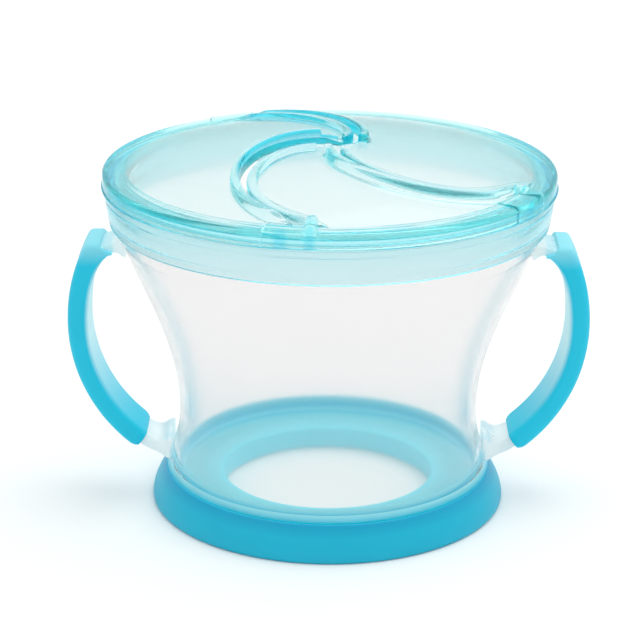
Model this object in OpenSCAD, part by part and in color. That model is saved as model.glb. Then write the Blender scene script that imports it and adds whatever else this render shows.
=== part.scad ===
// Toddler snack container: a clear hourglass cup with two soft-gripped handles
// on a soft foot ring, closed by a snap ring that carries a soft top. The soft
// top is cut by three swirling slits into three flaps that a small hand pushes
// through. Millimetres, +Z up, origin at the centre of the foot.

/* [Lid] */
// Outer diameter of the soft rim of the lid
lid_d = 105; // [88:0.5:126]
// Thickness of the soft rim's flat ledge
ledge_t = 1.8; // [1.4:0.1:2.4]
// Width of the flat ledge round the domed middle
ledge_w = 5.8; // [4.5:0.1:7.5]
// Height of the soft rim's outer wall
soft_wall_h = 3.5; // [2.6:0.1:5]
// Height of the visible band of the snap ring below the seam
band_h = 6.7; // [5:0.1:8]
// How much the snap ring is slimmer at its lower edge than at the seam
band_draft = 0.9; // [0:0.1:1.2]
// Radial wall of the snap ring at its lower edge
band_wall = 1.3; // [1.1:0.1:2]
// Rise of the domed middle above the ledge
dome_h = 6.1; // [3:0.1:9]
// Thickness of the soft membrane
membrane_t = 0.9; // [0.7:0.1:1.4]

/* [Flaps] */
// Width of the slits between the flaps
slit_w = 1.6; // [1.4:0.1:2.2]
// Height of the raised lip along one edge of each slit
lip_h = 2.5; // [1:0.1:3.5]
// Thickness of the raised lip
lip_t = 2.0; // [1.2:0.1:2.6]
// How far the lips stop short of the point where the slits meet
lip_start = 4.8; // [3:0.1:7]
// Angle that the front flap sags at rest
front_sag_deg = 2.0; // [0:0.1:4]
// Largest angle that a flap is pushed down into the cup
push_deg = 50; // [20:1:60]
// Largest angle that a flap is pulled up
pull_deg = 20; // [5:1:30]

/* [Cup] */
// Height of the cup's mouth edge above the table
cup_h = 77; // [66:0.5:93]
// Outer diameter of the cup at its waist
waist_d = 70; // [58:0.5:84]
// Height of the waist above the table
waist_h = 22.4; // [18:0.5:27]
// Outer diameter of the cup just above the foot ring
foot_d = 76.4; // [64:0.5:92]
// Wall thickness of the cup
cup_wall = 1.8; // [1.4:0.1:2.4]
// Thickness of the cup's floor
floor_t = 1.8; // [1.4:0.1:2.4]

/* [Foot ring] */
// Diameter of the foot ring where it stands on the table
ring_d = 83.4; // [78:0.5:100]
// Diameter of the hole in the foot ring
ring_hole_d = 49.4; // [40:0.5:60]
// Height of the foot ring's outer wall
ring_h = 8.2; // [7:0.1:10]
// Thickness of the foot ring under the cup's floor
ring_t = 5.5; // [4:0.1:6]

/* [Handles] */
// Overall width across both handles
handle_span = 121.2; // [115:0.5:146]
// Height of the widest point of the handles
handle_h = 44.2; // [40:0.5:48]
// Outer radius of the handle above its widest point
upper_r = 31.9; // [30:0.1:34]
// Outer radius of the handle below its widest point
lower_r = 39.2; // [37:0.1:42]
// Thickness of the soft grip, seen from the front
grip_t = 4.8; // [4.4:0.1:7]
// Width of the soft grip, front to back
grip_depth = 14.2; // [12:0.1:18]
// Thickness of the clear core inside the grip
core_t = 2.2; // [1.8:0.1:2.6]
// Width of the clear core, front to back
core_depth = 11.8; // [9:0.1:11.9]

/* [Hidden] */

$fn = 96;
steps = 24;               // points along a curved edge
clear = 0.3;              // gap between parts that only rest on each other

// ---- lid sizes ----
lid_r = lid_d / 2;
ledge_r = lid_r - ledge_w;
flange_step = 0.9;        // the seam lies this far inside the soft rim
flange_h = 1.8;           // height of the pale flange between seam and soft rim
seam_r = lid_r - flange_step;
band_low_r = seam_r - band_draft;
band_in_r = band_low_r - band_wall;
snap_bead = 0.4;          // how far the snap beads stand out
mouth_r = band_in_r - 2 * snap_bead - clear;
shelf_t = 1.7;            // inward shelf of the snap ring over the cup's mouth
shelf_w = 2.2;
shelf_z = cup_h + clear;
seat_z = shelf_z + shelf_t;
rim_z = seat_z + ledge_t;
skirt_z = rim_z - soft_wall_h;
seam_z = skirt_z - flange_h;
band_low_z = seam_z - band_h;
skirt_t = 1.8;            // radial wall of the soft rim's outer skirt
groove = 0.3;             // depth and height of the seam groove

// ---- swirl: each slit is a cubic curve from the meeting point to the rim,
// drawn for a dome radius of swirl_ref and scaled to the real one ----
swirl_ref = 46.7;
swirl = ledge_r / swirl_ref;
meet = [2.2, -2.6] * swirl;
slits = [
    [[2.2, -2.6], [-12, 7.5], [-31, -29], [-8.7, -44.8]],
    [[2.2, -2.6], [-3, -18], [22, -41], [40.6, -21.8]],
    [[2.2, -2.6], [13.5, 0], [-1, 30], [-19, 41.5]]
];
lip_rise = [1, 1, 0.68];       // the back lip is lower than the other two
joint_deg = [260.6, 327.4, 118];   // middle of the thick block where each slit ends
sag_deg = [0, front_sag_deg, 0];
hinge_gap = 0.3;
corner_cut = 2.4;         // the flaps' sharp corners stop this far inside the ledge
joint_w = 11.0 * max(1, swirl);   // length of the thick block where a slit meets the rim
joint_rise = 0.6;
rib_w = 2.6;              // rounded rib at the end of each block
meet_hole_r = 1.2;

// ---- cup sizes ----
waist_r = waist_d / 2;
foot_r = foot_d / 2;
floor_z = ring_t + floor_t;
ring_lip = 0.6;           // wall of the foot ring at its top edge
ring_edge = 0.4;
shoulder_drop = 11.5;     // straight collar below the mouth edge
shoulder_z = cup_h - shoulder_drop;

// ---- handle sizes ----
grip_out = handle_span / 2;
grip_in = grip_out - grip_t;
upper_c = [grip_out - upper_r, handle_h];
lower_c = [grip_out - lower_r, handle_h];
core_r = lower_r - grip_t / 2;
grip_end_deg = 50;        // the grip ends this far below its widest point,
foot_reach = 6.5;         // or where its end would come this near the cup's foot
lower_deg = -min(grip_end_deg, acos((foot_r + foot_reach - lower_c[0]) / core_r));
stub_z = shoulder_z - 2.9;   // middle of the upper stub
grip_top_z = stub_z + core_t / 2;
grip_top_x = grip_out - 7.85;
tongue_x = grip_out - 10.85;
upper_deg = 37.68249423;    // turn of the grip's outer edge from its widest point to its top
low_stub_z = ring_h + 5;     // middle of the lower stub
low_stub_t = core_t + 1.2;

// ---- curves ----
function bez(p, t) =
    pow(1 - t, 3) * p[0] + 3 * pow(1 - t, 2) * t * p[1]
    + 3 * (1 - t) * t * t * p[2] + pow(t, 3) * p[3];
function curve(p, n = steps) = [for (i = [0 : n]) bez(p, i / n)];
function arc(c, r, a0, a1, n = steps) =
    [for (i = [0 : n]) c + r * [cos(a0 + (a1 - a0) * i / n), sin(a0 + (a1 - a0) * i / n)]];
function unit(v) = v / norm(v);
function left_of(v) = [-v[1], v[0]];
function reversed(p) = [for (i = [len(p) - 1 : -1 : 0]) p[i]];
// the direction of a line of points at its point i
function heading(p, i) = unit(p[min(i + 1, len(p) - 1)] - p[max(i - 1, 0)]);
// the line of points moved sideways, by d0 at its start and d1 at its end
function side(p, d0, d1) =
    [for (i = [0 : len(p) - 1])
        p[i] + (d0 + (d1 - d0) * i / (len(p) - 1)) * left_of(heading(p, i))];
function band(p, a, b) = concat(side(p, a, a), reversed(side(p, b, b)));
dome_floor_z = seat_z - 2;
function dome_z(r) = rim_z + dome_h * (1 - pow(r / ledge_r, 2));

// ---- swirl geometry in plan ----
function slit(k) = curve(slits[k] * swirl);
function other(k) = (k + 2) % 3;      // the slit on the far side of flap k
function end_deg(k) = atan2(slits[k][3][1], slits[k][3][0]);
// each flap bends on the straight line from the end of its own slit to the end of
// the slit on its far side
function hinge_a(k) = slits[k][3] * swirl;
function hinge_b(k) = slits[other(k)][3] * swirl;
function hinge_mid(k) = (hinge_a(k) + hinge_b(k)) / 2;
function hinge_z(k) = dome_z(norm(hinge_mid(k))) - membrane_t / 2;
function hinge_len(k) = norm(hinge_b(k) - hinge_a(k));
function hinge_yaw(k) = atan2((hinge_b(k) - hinge_a(k))[1], (hinge_b(k) - hinge_a(k))[0]);

// puts things in the frame of hinge k: X along the hinge, the flap on the -Y side
module at_hinge(k) {
    translate([hinge_mid(k)[0], hinge_mid(k)[1], hinge_z(k)])
        rotate([0, 0, hinge_yaw(k)])
            children();
}

// the part of the plan between flap k's two slits
module sector_2d(k) {
    a0 = end_deg(k);
    a1 = end_deg(other(k));
    sweep = ((a0 - a1) + 720) % 360;
    polygon(concat(slit(k), arc([0, 0], ledge_r + 2, a0, a0 - sweep), reversed(slit(other(k)))));
}

// half of the plan on the tip side of the hinge
module tip_side_2d(k) {
    far = 3 * ledge_r;
    translate(hinge_mid(k)) rotate(hinge_yaw(k)) translate([-far / 2, -far]) square([far, far]);
}

module slits_2d() {
    for (k = [0 : 2]) polygon(band(slit(k), -slit_w / 2, slit_w / 2));
    translate(meet) circle(r = meet_hole_r, $fn = 24);
}

module lip_2d(k) {
    difference() {
        polygon(band(slit(k), -slit_w / 2 - lip_t, -slit_w / 2));
        translate(meet) circle(r = lip_start);
        slits_2d();
    }
}

// a layer that follows the dome, from lo to hi above its top surface, out to radius to
module dome_layer(lo, hi, to = ledge_r) {
    r = [for (i = [0 : steps]) to * i / steps];
    rotate_extrude()
        polygon(concat([for (x = r) [x, dome_z(x) + lo]],
                       [for (x = reversed(r)) [x, dome_z(x) + hi]]));
}

module tall(z0 = 0) {
    translate([0, 0, z0]) linear_extrude(rim_z + 30) children();
}

// the three raised lips; they start inside the membrane
module soft_lips() {
    for (k = [0 : 2])
        intersection() {
            dome_layer(-membrane_t / 2, lip_h * lip_rise[k], ledge_r + 1);
            tall() lip_2d(k);
        }
}

// room for hinge k: a bow tie that is narrow at the hinge line and opens below it
// for the push and above it for the pull
module hinge_room(k) {
    reach = 12;
    past = 0.8;
    g = hinge_gap / 2;
    up = g + reach * tan(pull_deg / 2 + 1.5);
    down = g + reach * tan(push_deg / 2 + 2);
    at_hinge(k) rotate([90, 0, 90])
        translate([0, 0, -hinge_len(k) / 2 - past]) linear_extrude(hinge_len(k) + 2 * past)
            polygon([[-up, reach], [-g, 0], [-down, -reach], [down, -reach], [g, 0], [up, reach]]);
}

module flap(k) {
    color([0.72, 0.91, 0.95])
        at_hinge(k) rotate([sag_deg[k], 0, 0]) rotate([0, 0, -hinge_yaw(k)])
            translate([-hinge_mid(k)[0], -hinge_mid(k)[1], -hinge_z(k)])
                difference() {
                    intersection() {
                        union() {
                            dome_layer(-membrane_t, 0);
                            soft_lips();
                        }
                        tall() difference() {
                            intersection() {
                                sector_2d(k);
                                tip_side_2d(k);
                                circle(r = ledge_r - corner_cut);
                            }
                            slits_2d();
                        }
                    }
                    hinge_room(k);
                }
}

module flap_left() { flap(0); }
module flap_front() { flap(1); }
module flap_back() { flap(2); }

// the thick block where slit k ends on the ledge, with a rounded rib at one end
// that is as tall as the lip at the ledge's inner edge and falls away outwards
module slit_joint(k) {
    half = joint_w / 2 / lid_r * 180 / PI;
    rise = lip_h * lip_rise[k];
    r0 = ledge_r - 1.2;
    r1 = lid_r - 0.5;
    rotate([0, 0, joint_deg[k] - half]) rotate_extrude(angle = 2 * half)
        polygon([[r0, rim_z - 0.5], [r1, rim_z - 0.5], [r1, rim_z + joint_rise],
                 [r0, rim_z + joint_rise]]);
    rotate([0, 0, joint_deg[k] + half]) translate([0, 0.5 - rib_w / 2, 0])
        intersection() {
            rotate([90, 0, 0]) translate([0, 0, -rib_w]) linear_extrude(2 * rib_w)
                polygon([[r0 + 0.3, rim_z - 0.4], [r0 + 0.3, rim_z + rise], [r0 + 1.8, rim_z + rise],
                         [r1 + 0.25, rim_z + joint_rise + 0.3], [r1 + 0.25, rim_z - 0.4]]);
            rotate([90, 0, 90]) linear_extrude(lid_r) {
                translate([0, rim_z + rise - rib_w / 2]) circle(d = rib_w, $fn = 32);
                translate([-rib_w / 2, rim_z - 1]) square([rib_w, 1 + rise - rib_w / 2]);
            }
        }
}

// ledge, skirt and domed middle in one outline
module soft_body() {
    top_edge = 0.6;
    r = [for (i = [0 : steps]) ledge_r * i / steps];
    rotate_extrude()
        polygon(concat(
            [for (x = r) [x, dome_z(x) - membrane_t]],
            [[ledge_r, seat_z], [lid_r - skirt_t, seat_z], [lid_r - skirt_t, skirt_z],
             [lid_r, skirt_z], [lid_r, rim_z - top_edge],
             [lid_r - top_edge * 0.3, rim_z - top_edge * 0.3], [lid_r - top_edge, rim_z]],
            [for (x = reversed(r)) [x, dome_z(x)]]));
}

module soft_rim() {
    color([0.55, 0.86, 0.93])
        difference() {
            union() {
                soft_body();
                soft_lips();
                for (k = [0 : 2]) slit_joint(k);
            }
            tall(dome_floor_z) {
                slits_2d();
                for (k = [0 : 2])
                    intersection() {
                        sector_2d(k);
                        tip_side_2d(k);
                    }
            }
            intersection() {
                cylinder(r = ledge_r - 0.6, h = rim_z + 30);
                for (k = [0 : 2]) hinge_room(k);
            }
        }
}

module snap_ring() {
    shelf_r = band_in_r - shelf_w;
    color([0.72, 0.92, 0.95])
        rotate_extrude()
            polygon([[band_in_r, band_low_z + 0.4], [band_in_r + 0.3, band_low_z],
                     [band_low_r, band_low_z], [seam_r, seam_z - groove],
                     [seam_r - groove, seam_z - groove], [seam_r - groove, seam_z],
                     [seam_r + 0.1, seam_z], [lid_r - 0.1, skirt_z],
                     [lid_r - skirt_t, skirt_z], [lid_r - skirt_t, seat_z],
                     [shelf_r, seat_z], [shelf_r, shelf_z], [band_in_r, shelf_z],
                     [band_in_r, band_low_z + 2], [band_in_r - snap_bead, band_low_z + 1.2]]);
}

// outer half outline of the cup, from the foot up to the mouth edge
function cup_outer() = concat(
    [[foot_r - ring_lip - 1, ring_t], [foot_r - ring_lip, ring_t + 1],
     [foot_r - ring_lip, ring_h]],
    reversed(curve([[waist_r, waist_h], [waist_r, waist_h - 6], [foot_r - 1.6, ring_h + 5],
                    [foot_r, ring_h]], 10)),
    curve([[waist_r, waist_h + 0.2], [waist_r, waist_h + 15], [mouth_r - 7, shoulder_z - 17],
           [mouth_r, shoulder_z]]),
    [[mouth_r, cup_h - 5.6], [mouth_r + snap_bead, cup_h - 4.8], [mouth_r, cup_h - 4],
     [mouth_r, cup_h - 0.4], [mouth_r - 0.4, cup_h]]);

function cup_inner() = concat(
    [[mouth_r - cup_wall + 0.4, cup_h], [mouth_r - cup_wall, cup_h - 0.4]],
    reversed(curve([[waist_r - cup_wall, waist_h + 0.2], [waist_r - cup_wall, waist_h + 15],
                    [mouth_r - 7 - cup_wall, shoulder_z - 17], [mouth_r - cup_wall, shoulder_z]])),
    curve([[waist_r - cup_wall, waist_h], [waist_r - cup_wall, waist_h - 6],
           [foot_r - 1.6 - cup_wall, floor_z + 6], [foot_r - cup_wall - 0.8, floor_z + 2.5]], 10),
    [[foot_r - cup_wall - 3, floor_z]]);

// the middle line of one handle's core, from the cup's shoulder down to its foot
function core_upper() = curve([[mouth_r - 2.2, stub_z], [grip_out - 3.5, stub_z],
                               [grip_out - grip_t / 2, stub_z - 7],
                               [grip_out - grip_t / 2, handle_h]]);
function core_lower() = arc(lower_c, core_r, 0, lower_deg);
function core_foot() = let (e = arc(lower_c, core_r, 0, lower_deg)[steps])
    curve([e, e + 4 * [sin(lower_deg), -cos(lower_deg)],
           [foot_r + 1.5, low_stub_z], [foot_r - 1.9, low_stub_z]], 10);

module upright(depth) {
    rotate([90, 0, 0]) translate([0, 0, -depth / 2]) linear_extrude(depth) children();
}

module handle_core() {
    upright(core_depth) {
        polygon(band(core_upper(), -core_t / 2, core_t / 2));
        polygon(band(core_lower(), -core_t / 2, core_t / 2));
        polygon(concat(side(core_foot(), -core_t / 2, -low_stub_t / 2),
                       reversed(side(core_foot(), core_t / 2, low_stub_t / 2))));
    }
}

// the space that the cup fills, with the clearance round it
module cup_room() {
    rotate_extrude()
        polygon(concat([[0, ring_t]], [for (p = cup_outer()) p + [clear, 0]], [[0, cup_h]]));
}

module grip() {
    upper_rise = (grip_top_z - handle_h) / sin(upper_deg);
    difference() {
        upright(grip_depth)
            polygon(concat(
                arc(lower_c, lower_r, lower_deg, 0),
                [for (i = [0 : steps]) let (a = upper_deg * i / steps)
                    upper_c + [upper_r * cos(a), upper_rise * sin(a)]],
                [[grip_top_x, grip_top_z], [grip_top_x, stub_z], [tongue_x, stub_z - core_t / 2]],
                curve([[tongue_x, stub_z - core_t / 2 - 0.3], [tongue_x + 4, stub_z - 3.3],
                       [grip_in, handle_h + 8], [grip_in, handle_h]]),
                arc(lower_c, lower_r - grip_t, 0, lower_deg)));
        handle_core();
        cup_room();
    }
}

module right_grip() { color([0.16, 0.68, 0.84]) grip(); }
module left_grip() { color([0.16, 0.68, 0.84]) mirror([1, 0, 0]) grip(); }

module cup_shell() {
    color([0.93, 0.95, 0.95])
        difference() {
            union() {
                rotate_extrude() polygon(concat([[0, ring_t]], cup_outer(), [[0, cup_h]]));
                handle_core();
                mirror([1, 0, 0]) handle_core();
            }
            rotate_extrude() polygon(concat([[0, cup_h + 1], [mouth_r - cup_wall + 0.4, cup_h + 1]],
                                            cup_inner(), [[0, floor_z]]));
        }
}

module foot_ring() {
    ring_r = ring_d / 2;
    color([0.16, 0.65, 0.80])
        rotate_extrude()
            polygon(concat(
                [[ring_hole_d / 2, 0], [ring_r - ring_edge, 0]],
                curve([[ring_r, ring_edge], [ring_r - 0.2, ring_h * 0.45],
                       [foot_r + 1.6, ring_h * 0.75], [foot_r + 0.2, ring_h]], 12),
                [[foot_r - ring_lip, ring_h], [foot_r - ring_lip, ring_t + 1],
                 [foot_r - ring_lip - 1, ring_t], [ring_hole_d / 2, ring_t]]));
}

cup_shell();
foot_ring();
left_grip();
right_grip();
snap_ring();
soft_rim();
flap_left();
flap_front();
flap_back();
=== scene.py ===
import math
import bmesh
import bpy
import numpy as np
from mathutils import Matrix, Vector
from mathutils.geometry import delaunay_2d_cdt


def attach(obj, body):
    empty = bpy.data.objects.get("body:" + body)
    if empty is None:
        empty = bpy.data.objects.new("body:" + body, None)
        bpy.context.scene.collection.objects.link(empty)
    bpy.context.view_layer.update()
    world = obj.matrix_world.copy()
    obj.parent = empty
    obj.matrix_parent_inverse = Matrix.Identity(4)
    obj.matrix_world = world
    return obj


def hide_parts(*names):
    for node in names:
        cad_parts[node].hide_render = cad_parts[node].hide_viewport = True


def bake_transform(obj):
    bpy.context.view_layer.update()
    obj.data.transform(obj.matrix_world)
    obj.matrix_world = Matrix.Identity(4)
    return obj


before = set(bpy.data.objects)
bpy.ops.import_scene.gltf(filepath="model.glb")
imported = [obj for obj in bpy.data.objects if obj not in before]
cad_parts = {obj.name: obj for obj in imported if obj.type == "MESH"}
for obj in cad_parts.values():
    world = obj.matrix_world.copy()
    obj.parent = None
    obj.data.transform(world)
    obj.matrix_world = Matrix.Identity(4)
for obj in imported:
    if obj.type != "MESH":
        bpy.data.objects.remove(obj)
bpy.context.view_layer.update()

# ---- Camera -------------------------------------------------------------------
# A long lens a little above the lid, square on to the handles, so that the round
# of the lid and the foot both show as flat ellipses.
camera_place = Vector((0.0, -0.5190, 0.2289))
camera_down, camera_yaw, camera_roll = 0.34332603, -0.0039019, 0.0064086    # radians
focal_length, film_width = 132.307, 36.0                                   # millimetres
ahead = Vector((math.sin(camera_yaw) * math.cos(camera_down),
                math.cos(camera_yaw) * math.cos(camera_down), -math.sin(camera_down)))
across = Vector((math.cos(camera_yaw), -math.sin(camera_yaw), 0.0))
upward = across.cross(ahead)
right = across * math.cos(camera_roll) + upward * math.sin(camera_roll)
top = upward * math.cos(camera_roll) - across * math.sin(camera_roll)
lens = bpy.data.cameras.new("camera")
lens.lens, lens.sensor_width = focal_length, film_width
lens.clip_start, lens.clip_end = 0.05, 20.0
camera = bpy.data.objects.new("camera", lens)
camera.matrix_world = Matrix(((right.x, top.x, -ahead.x, camera_place.x),
                              (right.y, top.y, -ahead.y, camera_place.y),
                              (right.z, top.z, -ahead.z, camera_place.z),
                              (0, 0, 0, 1)))
bpy.context.collection.objects.link(camera)
bpy.context.scene.camera = camera

# ---- Table and light ----------------------------------------------------------
# A plain white table under a white sky, with three broad soft lamps. The colours
# are shown as they are, so that white stays white.
scene = bpy.context.scene
scene.view_settings.view_transform = "Standard"
scene.cycles.max_bounces = scene.cycles.transmission_bounces = 24
scene.cycles.glossy_bounces, scene.cycles.transparent_max_bounces = 16, 32
sky = bpy.data.worlds.new("sky")
scene.world = sky
sky.use_nodes = True
sky.node_tree.nodes["Background"].inputs["Color"].default_value = (1.0, 1.0, 1.0, 1.0)
sky.node_tree.nodes["Background"].inputs["Strength"].default_value = 0.78


def add(tree, kind, **values):
    """A node with its sockets set by name; a value that is a socket is linked."""
    n = tree.nodes.new(kind)
    for key, value in values.items():
        if hasattr(n, key) and key not in n.inputs:
            setattr(n, key, value)
            continue
        socket = n.inputs[key.replace("_", " ")] if key.replace("_", " ") in n.inputs else n.inputs[key]
        if isinstance(value, bpy.types.NodeSocket):
            tree.links.new(value, socket)
        else:
            socket.default_value = value
    return n


def plain_surface(name):
    """A material with only its Principled shader and its output."""
    m = bpy.data.materials.new(name)
    m.use_nodes = True
    tree = m.node_tree
    tree.nodes.clear()
    shader = tree.nodes.new("ShaderNodeBsdfPrincipled")
    out = tree.nodes.new("ShaderNodeOutputMaterial")
    tree.links.new(shader.outputs["BSDF"], out.inputs["Surface"])
    return m, tree, shader, out


table_paint, tree, shader, out = plain_surface("table white")
place = add(tree, "ShaderNodeTexCoord")
grain = add(tree, "ShaderNodeTexNoise", Vector=place.outputs["Object"], Scale=40.0, Detail=3.0)
tone = add(tree, "ShaderNodeMapRange", Value=grain.outputs["Fac"], To_Min=0.55, To_Max=0.65)
tree.links.new(tone.outputs["Result"], shader.inputs["Roughness"])
shader.inputs["Base Color"].default_value = (0.93, 0.93, 0.93, 1.0)
shader.inputs["Specular IOR Level"].default_value = 0.1

round_top = bmesh.new()
bmesh.ops.create_circle(round_top, cap_ends=True, segments=96, radius=1.6)
mesh = bpy.data.meshes.new("table")
round_top.to_mesh(mesh)
round_top.free()
mesh.materials.append(table_paint)
table = bpy.data.objects.new("table", mesh)
bpy.context.collection.objects.link(table)

middle_of_cup = Vector((0.0, 0.0, 0.03))

for name, spot, width, power in (("lamp_left", (-0.80, -0.40, 0.90), 0.7, 0.5),
                                 ("lamp_right", (0.36, 0.24, 0.95), 1.40, 4.0),
                                 ("lamp_top", (0.10, 0.16, 1.10), 1.10, 2.7)):
    lamp = bpy.data.lights.new(name, "AREA")
    lamp.shape, lamp.size, lamp.energy = "DISK", width, power
    lamp_object = bpy.data.objects.new(name, lamp)
    lamp_object.location = spot
    lamp_object.rotation_euler = (middle_of_cup - Vector(spot)).to_track_quat("-Z", "Y").to_euler()
    bpy.context.collection.objects.link(lamp_object)

# ---- Foot ring ----------------------------------------------------------------
# A broad soft ring of coloured rubber moulded on under the clear cup. It keeps the
# cup from sliding, and its open middle leaves the clear floor free.
MM = 0.001
SAME_PLACE = 2e-6                  # points nearer than this, in metres, become one


def bend(p, n, first=True):
    """Points on a cubic curve with the four control points p."""
    t = np.linspace(0.0, 1.0, n + 1)[(0 if first else 1):, None]
    p = np.array(p, float)
    return ((1 - t) ** 3 * p[0] + 3 * (1 - t) ** 2 * t * p[1]
            + 3 * (1 - t) * t * t * p[2] + t ** 3 * p[3])


def corner(centre, r, a0, a1, n=6):
    """Points on a small round corner in a half outline, angles in degrees."""
    a = np.radians(np.linspace(a0, a1, n + 1))
    return np.stack([centre[0] + r * np.cos(a), centre[1] + r * np.sin(a)], 1)


def turning_tree():
    """Geometry nodes that turn a half outline about the Z axis."""
    tree = bpy.data.node_groups.new("turned outline", "GeometryNodeTree")
    face = tree.interface
    face.new_socket("Outline", in_out="INPUT", socket_type="NodeSocketGeometry")
    steps = face.new_socket("Steps Round", in_out="INPUT", socket_type="NodeSocketInt")
    steps.default_value = 160
    face.new_socket("Finish", in_out="INPUT", socket_type="NodeSocketMaterial")
    face.new_socket("Turned", in_out="OUTPUT", socket_type="NodeSocketGeometry")
    src = tree.nodes.new("NodeGroupInput")
    dst = tree.nodes.new("NodeGroupOutput")
    size = add(tree, "GeometryNodeAttributeDomainSize", Geometry=src.outputs["Outline"])
    count = size.outputs["Point Count"]
    index = tree.nodes.new("GeometryNodeInputIndex")

    def maths(operation, a, b=0.0):
        n = tree.nodes.new("ShaderNodeMath")
        n.operation = operation
        for k, v in ((0, a), (1, b)):
            if isinstance(v, bpy.types.NodeSocket):
                tree.links.new(v, n.inputs[k])
            else:
                n.inputs[k].default_value = v
        return n.outputs[0]

    sheet = tree.nodes.new("GeometryNodeMeshGrid")
    tree.links.new(maths("ADD", src.outputs["Steps Round"], 1.0), sheet.inputs["Vertices X"])
    tree.links.new(count, sheet.inputs["Vertices Y"])
    nudged = maths("ADD", index.outputs[0], 0.5)
    column = maths("FLOOR", maths("DIVIDE", nudged, count))
    row = maths("SUBTRACT", index.outputs[0], maths("MULTIPLY", column, count))
    angle = maths("MULTIPLY", maths("DIVIDE", column, src.outputs["Steps Round"]), 2 * math.pi)
    here = tree.nodes.new("GeometryNodeInputPosition")
    sample = tree.nodes.new("GeometryNodeSampleIndex")
    sample.data_type, sample.domain = "FLOAT_VECTOR", "POINT"
    tree.links.new(src.outputs["Outline"], sample.inputs["Geometry"])
    tree.links.new(here.outputs[0], sample.inputs["Value"])
    tree.links.new(row, sample.inputs["Index"])
    parts = tree.nodes.new("ShaderNodeSeparateXYZ")
    tree.links.new(sample.outputs[0], parts.inputs[0])
    spot = tree.nodes.new("ShaderNodeCombineXYZ")
    tree.links.new(maths("MULTIPLY", parts.outputs["X"], maths("COSINE", angle)), spot.inputs["X"])
    tree.links.new(maths("MULTIPLY", parts.outputs["X"], maths("SINE", angle)), spot.inputs["Y"])
    tree.links.new(parts.outputs["Z"], spot.inputs["Z"])
    moved = tree.nodes.new("GeometryNodeSetPosition")
    tree.links.new(sheet.outputs["Mesh"], moved.inputs["Geometry"])
    tree.links.new(spot.outputs[0], moved.inputs["Position"])
    joined = tree.nodes.new("GeometryNodeMergeByDistance")
    joined.inputs["Distance"].default_value = SAME_PLACE
    tree.links.new(moved.outputs[0], joined.inputs["Geometry"])
    real = tree.nodes.new("GeometryNodeRealizeInstances")
    tree.links.new(joined.outputs[0], real.inputs[0])
    painted = tree.nodes.new("GeometryNodeSetMaterial")
    tree.links.new(real.outputs[0], painted.inputs["Geometry"])
    tree.links.new(src.outputs["Finish"], painted.inputs["Material"])
    tree.links.new(painted.outputs[0], dst.inputs["Turned"])
    return tree


turned = turning_tree()


def made_real(obj, tree, **values):
    """Runs a geometry tree on obj with its inputs set, and keeps the plain mesh."""
    change = obj.modifiers.new("shape", "NODES")
    change.node_group = tree
    for item in tree.interface.items_tree:
        if item.item_type == "SOCKET" and item.in_out == "INPUT" and item.name.replace(" ", "_") in values:
            change[item.identifier] = values[item.name.replace(" ", "_")]
    bpy.context.view_layer.update()
    graph = bpy.context.evaluated_depsgraph_get()
    plain = bpy.data.meshes.new_from_object(obj.evaluated_get(graph))
    obj.modifiers.remove(change)
    obj.data = plain
    return obj


def tidy(obj, crease=40):
    """Merges doubles, points the faces outwards and shades them smooth."""
    b = bmesh.new()
    b.from_mesh(obj.data)
    bmesh.ops.remove_doubles(b, verts=b.verts, dist=SAME_PLACE)
    bmesh.ops.recalc_face_normals(b, faces=b.faces)
    b.to_mesh(obj.data)
    b.free()
    obj.data.shade_smooth()
    obj.data.set_sharp_from_angle(angle=math.radians(crease))
    return obj


def turn(name, outline, finish, steps=160, crease=40):
    """A closed half outline in millimetres, turned into a solid ring or bowl."""
    points = np.array(outline, float)
    if points[0][0] > 1e-6:
        points = np.vstack([points, points[:1]])
    mesh = bpy.data.meshes.new(name)
    mesh.from_pydata([(r * MM, 0.0, z * MM) for r, z in points],
                     [(i, i + 1) for i in range(len(points) - 1)], [])
    obj = bpy.data.objects.new(name, mesh)
    bpy.context.collection.objects.link(obj)
    made_real(obj, turned, Steps_Round=steps, Finish=finish)
    return tidy(obj, crease)


def rubber_tone_group():
    """Colour, roughness and grain height of moulded soft rubber."""
    tree = bpy.data.node_groups.new("soft rubber tone", "ShaderNodeTree")
    face = tree.interface
    for label, kind in (("Colour", "NodeSocketColor"), ("Deep Colour", "NodeSocketColor"),
                        ("Roughness", "NodeSocketFloat"), ("Grain Size", "NodeSocketFloat")):
        face.new_socket(label, in_out="INPUT", socket_type=kind)
    for label, kind in (("Colour", "NodeSocketColor"), ("Roughness", "NodeSocketFloat"),
                        ("Height", "NodeSocketFloat")):
        face.new_socket(label, in_out="OUTPUT", socket_type=kind)
    src = tree.nodes.new("NodeGroupInput")
    dst = tree.nodes.new("NodeGroupOutput")
    place = add(tree, "ShaderNodeTexCoord")
    cloud = add(tree, "ShaderNodeTexNoise", Vector=place.outputs["Object"], Scale=55.0, Detail=2.0)
    # A Mix node's colours are its inputs 6 and 7, and what it gives is its output 2.
    mix = add(tree, "ShaderNodeMix", data_type="RGBA")
    tree.links.new(cloud.outputs["Fac"], mix.inputs[0])
    tree.links.new(src.outputs["Colour"], mix.inputs[6])
    tree.links.new(src.outputs["Deep Colour"], mix.inputs[7])
    tree.links.new(mix.outputs[2], dst.inputs["Colour"])
    fine = add(tree, "ShaderNodeTexNoise", Vector=place.outputs["Object"], Detail=4.0)
    tree.links.new(src.outputs["Grain Size"], fine.inputs["Scale"])
    swing = add(tree, "ShaderNodeMath", operation="MULTIPLY_ADD")
    tree.links.new(fine.outputs["Fac"], swing.inputs[0])
    swing.inputs[1].default_value = 0.10
    tree.links.new(src.outputs["Roughness"], swing.inputs[2])
    tree.links.new(swing.outputs[0], dst.inputs["Roughness"])
    tree.links.new(fine.outputs["Fac"], dst.inputs["Height"])
    return tree


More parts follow.
